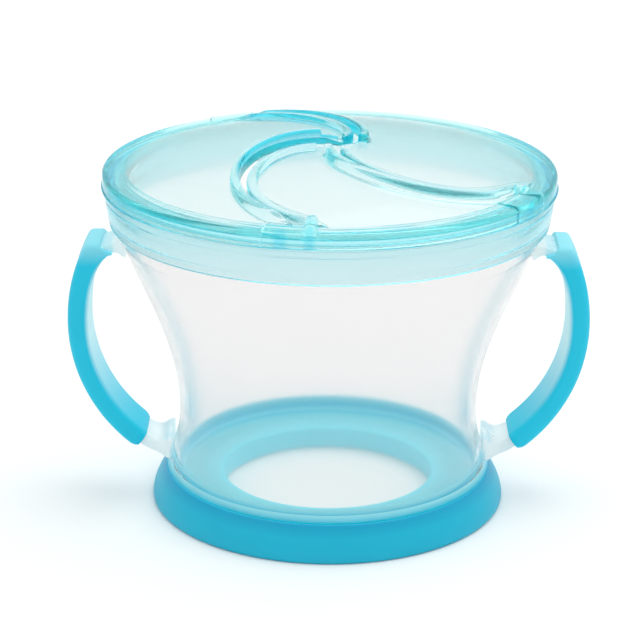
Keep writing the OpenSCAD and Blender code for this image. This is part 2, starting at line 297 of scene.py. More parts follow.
rubber_tone = rubber_tone_group()


def between(tree, value, low, high, most=1.0):
    """A mask that rises from 0 at low to most at high; low may be the larger one."""
    n = add(tree, "ShaderNodeMapRange", Value=value, From_Min=low, From_Max=high, To_Max=most)
    return n.outputs["Result"]


def both(tree, operation, one, other):
    """Two masks put together."""
    n = add(tree, "ShaderNodeMath", operation=operation)
    tree.links.new(one, n.inputs[0])
    tree.links.new(other, n.inputs[1])
    return n.outputs[0]


def over(tree, mask, tone, colour):
    """The colour laid over the tone where the mask is high."""
    n = add(tree, "ShaderNodeMix", data_type="RGBA")
    tree.links.new(mask, n.inputs[0])
    tree.links.new(tone, n.inputs[6])
    n.inputs[7].default_value = (*colour, 1.0)
    return n.outputs[2]


def from_axis(tree, place):
    """The flat place of each point, and how far it is from the object's upright axis."""
    flat = add(tree, "ShaderNodeVectorMath", operation="MULTIPLY")
    tree.links.new(place.outputs["Object"], flat.inputs[0])
    flat.inputs[1].default_value = (1.0, 1.0, 0.0)
    reach = add(tree, "ShaderNodeVectorMath", operation="LENGTH")
    tree.links.new(flat.outputs[0], reach.inputs[0])
    return flat.outputs[0], reach.outputs["Value"]


def rubber(name, colour, deep, roughness, glow):
    """Opaque soft rubber with a satin skin; a little light gets under the skin.
    Gives back the material, its tree and shader, its plain colour, and nodes with the
    place of each point, whole and split by axis."""
    m, tree, shader, out = plain_surface(name)
    g = tree.nodes.new("ShaderNodeGroup")
    g.node_tree = rubber_tone
    g.inputs["Colour"].default_value = (*colour, 1.0)
    g.inputs["Deep Colour"].default_value = (*deep, 1.0)
    g.inputs["Roughness"].default_value = roughness
    g.inputs["Grain Size"].default_value = 1400.0
    tree.links.new(g.outputs["Colour"], shader.inputs["Base Color"])
    tree.links.new(g.outputs["Roughness"], shader.inputs["Roughness"])
    bump = add(tree, "ShaderNodeBump", Strength=0.15, Distance=0.00003)
    tree.links.new(g.outputs["Height"], bump.inputs["Height"])
    tree.links.new(bump.outputs["Normal"], shader.inputs["Normal"])
    shader.inputs["Subsurface Weight"].default_value = glow
    shader.inputs["Subsurface Radius"].default_value = (0.1, 0.6, 0.9)
    shader.inputs["Subsurface Scale"].default_value = 0.002
    shader.inputs["IOR"].default_value = 1.38
    place = add(tree, "ShaderNodeTexCoord")
    axes = add(tree, "ShaderNodeSeparateXYZ", Vector=place.outputs["Object"])
    return m, tree, shader, g.outputs["Colour"], place, axes


# The ring's upper lip, under the cup's edge, is painted deeper blue: painted shade
# where the cup's edge sits on it. Where it lies under the clear floor, and on the wall
# of its hole, it is painted brighter: painted light where little light reaches.
# Heights and distances from the axis are in metres.
foot_paint, tree, shader, tone, place, axes = rubber(
    "foot rubber", (0.003, 0.475, 0.675), (0.002, 0.43, 0.61), roughness=0.36, glow=0.12)
reach = from_axis(tree, place)[1]
# Painted shade on the upper lip, under the cup's edge.
tone = over(tree, between(tree, axes.outputs["Z"], 0.0055, 0.0076), tone, (0.0, 0.36, 0.58))
# Painted light on the top face under the clear floor.
painted_light_under_floor = both(tree, "MULTIPLY", between(tree, axes.outputs["Z"], 0.0046, 0.0053),
           between(tree, reach, 0.0384, 0.0376))
tone = over(tree, painted_light_under_floor, tone, (0.125, 0.70, 0.82))
# Painted light on the wall of the hole.
tone = over(tree, between(tree, reach, 0.0262, 0.0256), tone, (0.10, 0.76, 0.90))
tree.links.new(tone, shader.inputs["Base Color"])

foot = turn("foot_ring_soft", np.vstack([
    [[25.2, 0.0], [40.9, 0.0]],
    corner((40.95, 0.7), 0.7, -80, 0, 5),
    bend([(41.68, 1.0), (41.5, 3.69), (39.9, 6.0), (38.55, 8.0)], 20),
    [[38.35, 8.2], [37.65, 8.2], [37.65, 6.55], [36.65, 5.48]],
    [[25.3, 5.48]],
    corner((25.2, 4.98), 0.5, 90, 180, 4),
    corner((25.2, 0.5), 0.5, 180, 270, 4)[:-1]]), foot_paint, steps=192, crease=35)
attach(foot, "cup")
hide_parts("foot_ring")

# ---- Clear cup ----------------------------------------------------------------
# One moulding of clear, faintly milky plastic: the hourglass cup with its round
# mouth, and the core of both handles that the soft grips are moulded round.


def haze_tone_group():
    """Colour and roughness of clear plastic with a faint, cloudy haze in it."""
    tree = bpy.data.node_groups.new("clear plastic haze", "ShaderNodeTree")
    face = tree.interface
    for label, kind in (("Haze", "NodeSocketColor"), ("Thick Haze", "NodeSocketColor"),
                        ("Smoothest", "NodeSocketFloat"), ("Roughest", "NodeSocketFloat")):
        face.new_socket(label, in_out="INPUT", socket_type=kind)
    for label, kind in (("Colour", "NodeSocketColor"), ("Roughness", "NodeSocketFloat")):
        face.new_socket(label, in_out="OUTPUT", socket_type=kind)
    src = tree.nodes.new("NodeGroupInput")
    dst = tree.nodes.new("NodeGroupOutput")
    place = add(tree, "ShaderNodeTexCoord")
    cloud = add(tree, "ShaderNodeTexNoise", Vector=place.outputs["Object"], Scale=70.0, Detail=3.0)
    pale = add(tree, "ShaderNodeMix", data_type="RGBA")
    tree.links.new(cloud.outputs["Fac"], pale.inputs[0])
    tree.links.new(src.outputs["Haze"], pale.inputs[6])
    tree.links.new(src.outputs["Thick Haze"], pale.inputs[7])
    tree.links.new(pale.outputs[2], dst.inputs["Colour"])
    skin = add(tree, "ShaderNodeMapRange", Value=cloud.outputs["Fac"])
    tree.links.new(src.outputs["Smoothest"], skin.inputs["To Min"])
    tree.links.new(src.outputs["Roughest"], skin.inputs["To Max"])
    tree.links.new(skin.outputs["Result"], dst.inputs["Roughness"])
    return tree


def low_tint_group():
    """A colour painted on the outer edge of an upright object's lowest part, for the blue
    ring seen through it, from the height where it starts to the height where it is full,
    and the middle of its floor painted near white, as painted light."""
    tree = bpy.data.node_groups.new("low tint", "ShaderNodeTree")
    face = tree.interface
    for label, kind in (("Tone", "NodeSocketColor"), ("Low Colour", "NodeSocketColor"),
                        ("Starts", "NodeSocketFloat"), ("Full", "NodeSocketFloat")):
        face.new_socket(label, in_out="INPUT", socket_type=kind)
    face.new_socket("Colour", in_out="OUTPUT", socket_type="NodeSocketColor")
    src = tree.nodes.new("NodeGroupInput")
    dst = tree.nodes.new("NodeGroupOutput")
    place = add(tree, "ShaderNodeTexCoord")
    height = add(tree, "ShaderNodeSeparateXYZ", Vector=place.outputs["Object"])
    low = add(tree, "ShaderNodeMapRange", Value=height.outputs["Z"])
    tree.links.new(src.outputs["Starts"], low.inputs["From Min"])
    tree.links.new(src.outputs["Full"], low.inputs["From Max"])
    low = low.outputs["Result"]
    reach = from_axis(tree, place)[1]
    # Painted: the blue of the ring seen through the clear edge.
    rim_mask = both(tree, "MULTIPLY", low, between(tree, reach, 0.0335, 0.0360))
    rim_tone = add(tree, "ShaderNodeMix", data_type="RGBA")
    tree.links.new(rim_mask, rim_tone.inputs[0])
    tree.links.new(src.outputs["Tone"], rim_tone.inputs[6])
    tree.links.new(src.outputs["Low Colour"], rim_tone.inputs[7])
    # Painted light: the floor's middle, over the ring's hole, is painted near white.
    painted_light_window = both(tree, "MULTIPLY", low, between(tree, reach, 0.0300, 0.0270))
    tone = over(tree, painted_light_window, rim_tone.outputs[2], (0.985, 0.998, 1.0))
    tree.links.new(tone, dst.inputs["Colour"])
    return tree


haze_tone = haze_tone_group()
low_tint = low_tint_group()


def clear_plastic(name, haze, roughness, ior, clear, to_light=(1.0, 1.0, 1.0), depth=None,
                  wall=None, foot=None, spots=()):
    """See-through plastic. clear is how much of it lets light through, and depth is the
    tint and density of what is looked through. Light from lamps, and light on its way
    to and from dull things behind it, goes straight on, tinted by to_light.
    wall is a painted light colour, for light carried along a wall: it is painted where the
    mesh's edge value is high, and faintly round the spots (x, y, radius). foot is a colour
    painted on the lowest edge for the blue ring seen through it, with the heights where it
    starts and where it is full."""
    m, tree, shader, out = plain_surface(name)
    g = tree.nodes.new("ShaderNodeGroup")
    g.node_tree = haze_tone
    g.inputs["Haze"].default_value = (*haze, 1.0)
    g.inputs["Thick Haze"].default_value = (haze[0] * 0.985, haze[1] * 0.99, haze[2] * 0.99, 1.0)
    g.inputs["Smoothest"].default_value = roughness * 0.85
    g.inputs["Roughest"].default_value = roughness * 1.2
    tree.links.new(g.outputs["Roughness"], shader.inputs["Roughness"])
    tone = g.outputs["Colour"]
    if wall:
        marked = add(tree, "ShaderNodeAttribute", attribute_name="edge")
        tone = over(tree, marked.outputs["Fac"], tone, wall)
    if foot:
        colour, starts, full = foot
        g = tree.nodes.new("ShaderNodeGroup")
        g.node_tree = low_tint
        g.inputs["Low Colour"].default_value = (*colour, 1.0)
        g.inputs["Starts"].default_value = starts
        g.inputs["Full"].default_value = full
        tree.links.new(tone, g.inputs["Tone"])
        tone = g.outputs["Colour"]
    if spots:
        flat = from_axis(tree, add(tree, "ShaderNodeTexCoord"))[0]
    for x, y, r in spots:
        apart = add(tree, "ShaderNodeVectorMath", operation="DISTANCE")
        tree.links.new(flat, apart.inputs[0])
        apart.inputs[1].default_value = (x, y, 0.0)
        tone = over(tree, between(tree, apart.outputs["Value"], r, r * 0.4, most=0.62), tone, wall)
    tree.links.new(tone, shader.inputs["Base Color"])
    shader.inputs["Transmission Weight"].default_value = clear
    shader.inputs["IOR"].default_value = ior
    if depth:
        tint, density = depth
        body = tree.nodes.new("ShaderNodeVolumeAbsorption")
        body.inputs["Color"].default_value = (*tint, 1.0)
        body.inputs["Density"].default_value = density
        tree.links.new(body.outputs["Volume"], out.inputs["Volume"])
    rays = tree.nodes.new("ShaderNodeLightPath")
    open_way = tree.nodes.new("ShaderNodeBsdfTransparent")
    open_way.inputs["Color"].default_value = (*to_light, 1.0)
    surface = shader.outputs["BSDF"]
    for kind in ("Is Diffuse Ray", "Is Shadow Ray"):
        choice = tree.nodes.new("ShaderNodeMixShader")
        tree.links.new(rays.outputs[kind], choice.inputs[0])
        tree.links.new(surface, choice.inputs[1])
        tree.links.new(open_way.outputs["BSDF"], choice.inputs[2])
        surface = choice.outputs["Shader"]
    tree.links.new(surface, out.inputs["Surface"])
    return m


def lofted(name, rows, finish, crease=40):
    """A closed bar through rows of points, each row one cross section, with flat ends."""
    n = len(rows[0])
    verts = [v for row in rows for v in row]
    faces = [(i * n + j, i * n + (j + 1) % n, (i + 1) * n + (j + 1) % n, (i + 1) * n + j)
             for i in range(len(rows) - 1) for j in range(n)]
    faces += [tuple(range(n))[::-1], tuple((len(rows) - 1) * n + j for j in range(n))]
    mesh = bpy.data.meshes.new(name)
    mesh.from_pydata(verts, [], faces)
    mesh.materials.append(finish)
    obj = bpy.data.objects.new(name, mesh)
    bpy.context.collection.objects.link(obj)
    return tidy(obj, crease)


def rounded_box(half_t, half_d, r, points):
    """A rectangle with round corners of radius r, as (across, deep) pairs."""
    pairs = []
    for x, y, start in ((half_t - r, half_d - r, 0), (r - half_t, half_d - r, 90),
                        (r - half_t, r - half_d, 180), (half_t - r, r - half_d, 270)):
        for a in np.radians(np.linspace(start, start + 90, points)):
            pairs.append((x + r * math.cos(a), y + r * math.sin(a)))
    return pairs


def sweep(name, path, half_t, half_d, finish, corner_r):
    """A bar with rounded edges along a path in the XZ plane, in millimetres.
    half_t and half_d are half its thickness and half its depth at each point."""
    path = np.array(path, float)
    along = np.gradient(path, axis=0)
    along /= np.linalg.norm(along, axis=1)[:, None]
    side = np.stack([-along[:, 1], along[:, 0]], 1)
    rows = []
    for p, s, t, d in zip(path, side, half_t, half_d):
        r = min(corner_r, t * 0.98, d * 0.98)
        row = []
        for x, y in rounded_box(t, d, r, 6):
            q = p + s * x
            row.append((q[0] * MM, y * MM, q[1] * MM))
        rows.append(row)
    return lofted(name, rows, finish)


def merge(obj, others):
    """Joins solids into one closed solid and drops the others."""
    for other in others:
        change = obj.modifiers.new("join", "BOOLEAN")
        change.operation, change.solver, change.object = "UNION", "EXACT", other
        change.material_mode = "TRANSFER"
    bpy.context.view_layer.update()
    graph = bpy.context.evaluated_depsgraph_get()
    plain = bpy.data.meshes.new_from_object(obj.evaluated_get(graph))
    obj.modifiers.clear()
    obj.data = plain
    for other in others:
        bpy.data.objects.remove(other)
    return obj


# The cup's lowest outer edge is painted pale blue, for the ring seen through it, and the middle of its
# floor is painted near white, as painted light.
clear_paint = clear_plastic("clear cup", (0.918, 0.905, 0.905), roughness=0.12, ior=1.17, clear=0.98,
                            foot=((0.40, 0.86, 0.93), 0.0115, 0.0085))
clear_paint.node_tree.nodes["Principled BSDF"].inputs["Sheen Weight"].default_value = 0.25
milky_paint = clear_plastic("milky stub", (0.89, 0.95, 0.96), roughness=0.28, ior=1.25, clear=0.45)
# Painted: the blue of the ring seen through the clear edge where it is bonded on.
painted_ring_edge = clear_plastic("edge painted ring blue", (0.38, 0.80, 0.88), roughness=0.3, ior=1.18, clear=0.25,
                             foot=((0.0, 0.55, 0.76), 0.0100, 0.0085))
cup = turn("cup_clear", np.vstack([
    [[0.0, 5.5], [35.9, 5.5]],
    corner((36.4, 6.6), 1.1, -80, -10, 4),
    [[37.55, 7.0], [37.6, 8.2], [38.1, 8.25]],
    bend([(38.2, 8.5), (36.6, 13.2), (35.0, 16.4), (35.0, 22.5)], 24),
    bend([(35.0, 22.5), (35.0, 37.4), (41.3, 48.5), (48.3, 65.5)], 60, False),
    [[48.3, 68.5], [48.3, 71.2], [48.45, 71.6]],
    corner((48.2, 72.2), 0.5, -50, 50, 5),
    [[48.3, 73.0], [48.3, 76.2]],
    corner((47.4, 76.1), 0.9, 0, 180, 10),
    [[46.5, 70.0], [46.5, 65.5]],
    bend([(46.5, 65.5), (39.5, 48.5), (33.2, 37.4), (33.2, 22.5)], 60, False),
    bend([(33.2, 22.5), (33.2, 17.0), (34.6, 13.6), (35.2, 10.6)], 20, False),
    bend([(35.2, 10.6), (35.6, 8.6), (34.6, 7.3), (32.4, 7.3)], 10, False),
    [[16.0, 7.3], [0.0, 7.3]]]), clear_paint, steps=224, crease=50)

# The handle's core: out from the wall, over the shoulder, down a round arc, back in.
ARC_X, ARC_Z, CORE_R = 21.4, 44.2, 36.8
upper = bend([(46.8, 62.6), (57.1, 62.6), (58.2, 55.6), (ARC_X + CORE_R, ARC_Z)], 36)
turns = np.radians(np.linspace(0, -50, 31)[1:])
middle = np.stack([ARC_X + CORE_R * np.cos(turns), ARC_Z + CORE_R * np.sin(turns)], 1)
lower = bend([middle[-1], (42.0, 13.9), (40.6, 13.2), (36.75, 13.2)], 20, False)
path = np.vstack([upper, middle, lower])
run = np.concatenate([[0.0], np.cumsum(np.linalg.norm(np.diff(path, axis=0), axis=1))])
to_go = run[-1] - run
# It grows a little towards its foot and flares where it meets the wall at each end.
swell = 0.6 * np.clip(1 - to_go / 10.0, 0, 1)
flare_top = np.clip(1 - (run - 0.4) / 3.2, 0, 1) ** 2.4
flare_foot = np.clip(1 - (to_go - 1.2) / 3.4, 0, 1) ** 2.4
half_thick = 1.1 + swell + 1.2 * flare_top + 1.0 * flare_foot
half_deep = 5.9 + 0.9 * flare_top + 0.9 * flare_foot
cores = []
for mirror in (1, -1):
    core = sweep("core", path, half_thick, half_deep, milky_paint, corner_r=0.9)
    if mirror < 0:
        core.data.transform(Matrix.Scale(-1, 4, (1, 0, 0)))
        tidy(core)
    cores.append(core)
merge(cup, cores)
tidy(cup, 55)

# The outer edge of the cup's floor, where the ring is bonded on, is painted blue,
# for the ring seen through it.
cup.data.materials.append(painted_ring_edge)
BOND_TOP, BOND_IN = 10.4 * MM, 34.2 * MM
for face in cup.data.polygons:
    if face.center.z < BOND_TOP and math.hypot(face.center.x, face.center.y) > BOND_IN:
        face.material_index = len(cup.data.materials) - 1
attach(cup, "cup")
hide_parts("cup_shell")

# ---- Handle grips -------------------------------------------------------------
# Soft blue rubber moulded over the clear core of each handle, wide and round-edged
# for a small hand. The flat top end turns in under the clear stub.
grip_paint, tree, shader, tone, place, axes = rubber(
    "grip rubber", (0.008, 0.60, 0.80), (0.006, 0.53, 0.74), roughness=0.45, glow=0.20)
# A painted highlight makes it paler on its inner side, where it is softly lit. Its thin
# top end is paler too, partly from the thin rubber over the clear core and partly as
# painted light from above.
lean = add(tree, "ShaderNodeSeparateXYZ", Vector=place.outputs["Normal"])
outward = both(tree, "SIGN", axes.outputs["X"], axes.outputs["X"])
turned_in = both(tree, "MULTIPLY", lean.outputs["X"], outward)
painted_inner_highlight = both(tree, "MULTIPLY", between(tree, turned_in, -0.55, -1.0),
                  between(tree, axes.outputs["Z"], 0.016, 0.040))
# Painted highlight on the inner side.
tone = over(tree, painted_inner_highlight, tone, (0.62, 0.90, 0.96))
# The top end: thin rubber over the core, with painted light from above.
tone = over(tree, between(tree, axes.outputs["Z"], 0.0585, 0.0640), tone, (0.30, 0.76, 0.86))
tree.links.new(tone, shader.inputs["Base Color"])

GRIP_OUT_R, GRIP_IN_R, GRIP_LOW_DEG = 39.2, 34.4, -52.4
HALF_GRIP, GRIP_EDGE = 7.1, 1.9
LOW_END = (0.78, 0.93, 0.99)       # share of the full section at the rounded lower end


def grip_rails():
    """The outer and inner line of the right grip, from its lower end to its top."""
    low = np.radians(np.linspace(GRIP_LOW_DEG, 0, 46))
    round_arc = np.stack([np.cos(low), np.sin(low)], 1)
    centre = np.array((ARC_X, ARC_Z))
    outer = np.vstack([centre + GRIP_OUT_R * round_arc,
                       bend([(60.6, 44.2), (60.6, 51.2), (59.0, 57.6), (56.2, 62.9)], 30, False),
                       [[55.85, 63.35], [55.3, 63.66], [54.4, 63.72], [53.2, 63.72], [52.75, 63.7],
                        [52.6, 63.2], [52.4, 62.5], [50.6, 61.9], [49.9, 61.55]]])
    inner = np.vstack([centre + GRIP_IN_R * round_arc,
                       bend([(55.8, 44.2), (55.8, 52.2), (53.75, 59.3), (49.75, 61.2)], 39, False)])
    return outer, inner


def rounded_grip(name, mirror):
    """One grip: a round-edged bar between the two rails, drawn in at its lower end."""
    rows = []
    for i, (o, q) in enumerate(zip(*grip_rails())):
        width = np.linalg.norm(o - q)
        share = LOW_END[i] if i < len(LOW_END) else 1.0
        t, d = width / 2 * share, HALF_GRIP - (1 - share) * GRIP_EDGE
        r = min(GRIP_EDGE, width * 0.49, t * 0.99)
        mid, lean = (o + q) / 2, (o - q) / max(width, 1e-6)
        row = []
        for x, y in rounded_box(t, d, r, 9):
            p = mid + lean * x
            row.append((p[0] * MM * mirror, y * MM, p[1] * MM))
        rows.append(row)
    return lofted(name, rows, grip_paint, 35)


for name, mirror, node in (("grip_soft_right", 1, "right_grip"), ("grip_soft_left", -1, "left_grip")):
    grip = rounded_grip(name, mirror)
    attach(grip, "cup")
    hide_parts(node)

# ---- Snap ring ----------------------------------------------------------------
# The stiff lower half of the lid, in hazy pale blue plastic. It snaps over the bead
# round the cup's mouth, and a fine groove runs round it just below the soft top.
band_paint = clear_plastic("band tint", (0.955, 0.995, 1.0), roughness=0.16, ior=1.20, clear=0.97,
                           to_light=(0.95, 0.94, 0.93), depth=((0.16, 0.89, 0.97), 190.0))
band = turn("snap_ring_band", np.vstack([
    [[49.4, 69.3], [49.6, 68.95]],
    corner((50.3, 69.2), 0.4, -90, -10, 4),
    [[51.0, 71.0], [51.3, 73.0], [51.55, 75.0], [51.45, 75.17], [51.32, 75.22], [51.32, 75.44],
     [51.5, 75.5], [51.72, 75.62], [52.3, 77.24], [50.75, 77.28], [50.7, 78.98]],
    [[47.4, 78.98], [47.2, 78.8], [47.2, 77.5], [47.4, 77.32], [49.2, 77.32], [49.4, 77.1],
     [49.4, 70.9], [49.05, 70.3], [49.05, 69.9]]]), band_paint, steps=224, crease=30)
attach(band, "lid")
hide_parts("snap_ring")

# ---- Soft top: rim ------------------------------------------------------------
# The rim of the soft top: a flat ledge and a wall round the lid's edge, with a
# thick block wherever a slit between two flaps runs out. Two blocks carry a bead.
# Its wall colour is painted light, laid faintly round three spots at the blocks.
soft_paint = clear_plastic("soft top", (0.985, 0.998, 1.0), roughness=0.10, ior=1.20, clear=0.98,
                           to_light=(0.95, 0.94, 0.93), depth=((0.17, 0.985, 0.997), 150.0),
                           wall=(0.02, 0.70, 0.90),
                           spots=((-0.0105, -0.0515, 0.0020), (-0.0042, -0.0522, 0.0015),
                                  (0.0435, -0.0285, 0.0018)))
LEDGE, RIM = 46.7, 80.8            # inner radius of the ledge, and height of its top
WALL_R, WALL_FOOT = 52.5, 77.5     # the rim's outer wall, and how far down add-ons reach
rim = turn("soft_top_rim", np.vstack([
    [[LEDGE, 79.02], [50.65, 79.02], [50.75, 77.4], [50.9, 77.32], [51.95, 77.32]],
    corner((51.55, 77.8), 0.5, -70, 0, 4),
    corner((51.15, 79.9), 0.9, 0, 90, 8),
    [[50.0, RIM], [LEDGE + 0.2, RIM]], [[LEDGE, RIM - 0.02]]]), soft_paint, steps=224, crease=40)


def ring_block(mid_deg, length, rise, r0=46.75, r1=52.45, edge=0.45):
    """A thick pad on the ledge that follows its curve, with rounded top edges."""
    half = length / 2 / WALL_R
    under, shoulder, top = RIM - 0.6, 50.9, RIM + rise
    profile = [(r0, under), (shoulder - 0.2, under), (shoulder, WALL_FOOT), (r1, WALL_FOOT),
               (r1, top - 2 * edge), (r1 - edge * 0.25, top - edge * 0.9),
               (r1 - edge, top - edge * 0.25), (r1 - 2 * edge, top),
               (r0 + edge, top), (r0 + edge * 0.3, top - edge * 0.3), (r0, top - edge)]
    rows = [[(r * math.cos(a) * MM, r * math.sin(a) * MM, z * MM) for r, z in profile]
            for a in np.linspace(-half, half, 17) + math.radians(mid_deg)]
    return lofted("block", rows, soft_paint)


def bead(deg, rise, width=2.7, r0=45.9, r1=52.48):
    """A rounded rib across the ledge, tall at its inner end, that runs on down the wall."""
    a = math.radians(deg)
    out, side = np.array((math.cos(a), math.sin(a))), np.array((-math.sin(a), math.cos(a)))
    w, low_end = width / 2, 1.15
    # Shares of its length: where each row is, where it is over the wall, and its nose.
    stops = (0.0, 0.01, 0.03, 0.06, 0.10, 0.2, 0.3, 0.42, 0.55, 0.68, 0.75, 0.755, 0.86,
             0.92, 0.96, 0.985, 1.0)
    over_wall, nose = 0.752, 0.86
    rows = []
    for s in stops:
        r = r0 + (r1 - r0) * s
        h = rise + (low_end - rise) * max(0.0, (s - 0.3) / 0.7)
        h *= 0.7 + 0.3 * math.sqrt(1 - (1 - min(1.0, s / 0.10)) ** 2)
        if s > nose:
            h *= 0.45 + 0.55 * math.sqrt(max(0.0, 1 - ((s - nose) / (1 - nose)) ** 2))
        foot = -0.5 if s < over_wall else WALL_FOOT - RIM
        k = min(w, h * 0.95)
        row = [(-w, foot), (w, foot)]
        for b in np.radians(np.linspace(0, 180, 15)):
            row.append((w * math.cos(b), h - k + k * math.sin(b)))
        rows.append([(*((out * r + side * x) * MM), (RIM + z) * MM) for x, z in row])
    return lofted("bead", rows, soft_paint)


# One block at the end of each slit: its middle in degrees, how far it stands over
# the ledge, and how high its bead is, or 0 for none.
BLOCK_LENGTH, BEAD_OFF = 11.2, 4.7  # the bead stands this far from the block's middle
add_ons = []
for mid, up, rise in ((260.4, 0.6, 2.6), (327.4, 0.5, 2.3), (118.0, 0.15, 0.0)):
    add_ons.append(ring_block(mid, BLOCK_LENGTH, up))
    if rise:
        add_ons.append(bead(mid + math.degrees(BEAD_OFF / WALL_R), rise))
merge(rim, add_ons)
tidy(rim, 35)
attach(rim, "lid")
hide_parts("soft_rim")

# ---- Soft top: the three flaps ------------------------------------------------
# Three swirling flaps of thin soft membrane. Each has a raised lip along its own
# slit and a lower rib along the far slit, is held along the ledge, and bends on the
# straight line between the ends of its two slits.
# Its wall colour is painted light: a deep blue line along the top edges of the lips and ribs.
flap_paint = clear_plastic("soft membrane", (0.95, 0.982, 0.988), roughness=0.12, ior=1.18, clear=0.98,
                           to_light=(0.95, 0.94, 0.93), depth=((0.16, 0.965, 0.985), 110.0),
                           wall=(0.02, 0.62, 0.85))
DOME, SKIN, SLIT = 6.1, 0.9, 0.8   # height of the dome, thickness, and half a slit's width
CENTRE = np.array((2.2, -2.6))     # where the three slits meet, in plan
SLITS = (((2.2, -2.6), (-12.0, 7.5), (-31.0, -29.0), (-8.7, -44.8)),
         ((2.2, -2.6), (-3.0, -18.0), (22.0, -41.0), (40.6, -21.8)),
         ((2.2, -2.6), (13.5, 0.0), (-1.0, 30.0), (-19.0, 41.5)))
HINGES = [(SLITS[k][3], SLITS[(k + 2) % 3][3]) for k in range(3)]
SAGS = (0.0, 2.0, 0.0)             # how far each flap hangs at rest, in degrees
HOLD = LEDGE + 0.35                # the membrane runs this far into the ledge
HOLE = 1.2                         # radius of the hole where the slits meet

# For each flap, its lip and its rib: how high it stands, the share of that height
# before its start, and its painted line of light along its top edge, which has one
# strength until some length along the slit and another after it.
LIPS = ((2.5, 0.52, (1.0, 33.0, 0.1)), (2.5, 0.0, (0.3, 20.0, 0.15)), (1.7, 0.0, (1.0, 40.0, 0.8)))
RIBS = ((1.3, 1.0, (1.0, 40.0, 0.6)), (1.3, 0.0, (0.7, 20.0, 0.2)), (1.0, 0.0, (0.25, 20.0, 0.1)))
LIP_COLUMNS = [SLIT + x for x in (0.0, 0.06, 0.2, 0.45, 1.0, 1.55, 1.8, 1.94, 2.0, 2.04, 2.2, 2.5, 3.0)]
RIB_COLUMNS = [SLIT + x for x in (0.0, 0.06, 0.2, 0.5, 1.2, 1.9, 2.2, 2.34, 2.4, 2.44, 2.6, 2.9, 3.4)]


def step(x):
    """A smooth rise from 0 at x = 0 to 1 at x = 1."""
    x = np.clip(x, 0.0, 1.0)
    return x * x * (3 - 2 * x)


class SlitLine:
    """One slit in plan, run on straight past its end."""

    def __init__(self, k):
        p = np.array(SLITS[k], float)
        core = bend(p, 600)
        tail = core[-1] - core[-2]
        tail /= np.linalg.norm(tail)
        self.xy = np.vstack([core, core[-1] + tail * np.linspace(0.1, 25.0, 250)[:, None]])
        d = np.gradient(self.xy, axis=0)
        d /= np.linalg.norm(d, axis=1)[:, None]
        self.left = np.stack([-d[:, 1], d[:, 0]], 1)
        self.s = np.concatenate([[0.0], np.cumsum(np.linalg.norm(np.diff(self.xy, axis=0), axis=1))])

    def at(self, s, offset):
        """Points at lengths s along the slit, moved left by offset."""
        x = np.stack([np.interp(s, self.s, self.xy[:, c]) for c in (0, 1)], -1)
        n = np.stack([np.interp(s, self.s, self.left[:, c]) for c in (0, 1)], -1)
        return x + n * np.asarray(offset)[..., None]

    def clip(self, offset):
        """The lengths where the line moved by offset leaves the hole and meets its end."""
        p = self.at(self.s, np.full(len(self.s), offset))
        from_middle = np.linalg.norm(p - CENTRE, axis=1)
        first = int(np.argmax(from_middle >= HOLE))
        r = np.linalg.norm(p, axis=1)
        last = int(np.argmax((r >= HOLD) & (self.s > 20)))
        near_first = slice(max(first - 1, 0), first + 1)
        near_last = slice(last - 1, last + 1)
        s0 = np.interp(HOLE, from_middle[near_first], self.s[near_first])
        s1 = np.interp(HOLD, r[near_last], self.s[near_last])
        return float(s0), float(s1)


LINES = [SlitLine(k) for k in range(3)]
ROWS = 132


def stations(line, side, lip_from):
    """Lengths along a slit for each row, with two rows close together at the lip's start."""
    s0, s1 = line.clip(side * SLIT)
    s = s0 + (s1 - s0) * np.linspace(0.0, 1.0, ROWS)
    i = int(np.argmin(abs(s - lip_from)))
    s[i], s[i + 1] = lip_from - 0.12, lip_from + 0.12
    return s, s1


def strip(line, side, columns, lip_from):
    """Plan points of the columns beside a slit, with each one's length along it and
    its length to go. Columns are distances from the slit's middle, and they draw
    together towards the hole where the slits meet."""
    s, s1 = stations(line, side, lip_from)
    squeeze = 0.06 + 0.94 * np.clip((s - s[0]) / 3.3, 0, 1) ** 1.5
    points, along, to_go = [], [], []
    for d in columns:
        end = line.clip(side * d)[1]
        run = max(14.0, 2.2 * abs(end - s1))
        shifted = s + (end - s1) * step((s - (s1 - run)) / run)
        points.append(line.at(shifted, side * (SLIT + (d - SLIT) * squeeze)))
        along.append(shifted)
        to_go.append(end - shifted)
    return np.array(points).transpose(1, 0, 2), np.array(along).T, np.array(to_go).T


def lip_profile(width, rise, columns):
    """Share of the rise on each column: a wall of this width with rounded edges, and
    a low fillet behind it."""
    heights = []
    for d in columns:
        x = d - SLIT
        if x <= width:
            edge = min(x, width - x)
            r = min(0.55, width * 0.4)
            h = 1.0 if edge >= r else 1.0 - (r - math.sqrt(max(0.0, r * r - (r - edge) ** 2))) / rise
            heights.append(h)
        else:
            y = (x - width) / 0.9
            heights.append(0.14 * max(0.0, 1 - y) ** 2)
    return np.array(heights)


def rises(profile, top, along, start, to_go, fade, left, tip):
    """Height over the membrane: the profile, from its start to its fade at the ledge,
    where the share left stays. Before its start it has only the share tip."""
    run = tip + (1 - tip) * np.clip((along - start) / 0.2 + 0.5, 0, 1)
    run = run * (1 - step(1 - to_go / fade) * (1 - left))
    return top * run * profile[None]


def line_mark(columns, along, strength, until, after):
    """How deep the painted light is on each column: a painted line of light along the top of a wall's slit
    side.
    """
    line = np.clip((0.95 - (np.array(columns) - SLIT)) / 0.5, 0, 1)
    run = after + (strength - after) * (1 - step((along - until) / 8.0))
    return run * line[None]


def raised_strip(line, side, columns, width, start, fade, left, about):
    """Plan points, rises and painted light marks of the columns beside a slit, row by row."""
    top, tip, colour = about
    points, along, to_go = strip(line, side, columns, start)
    up = rises(lip_profile(width, top, columns), top, along, start, to_go, fade, left, tip)
    return points, up, line_mark(columns, along, *colour)


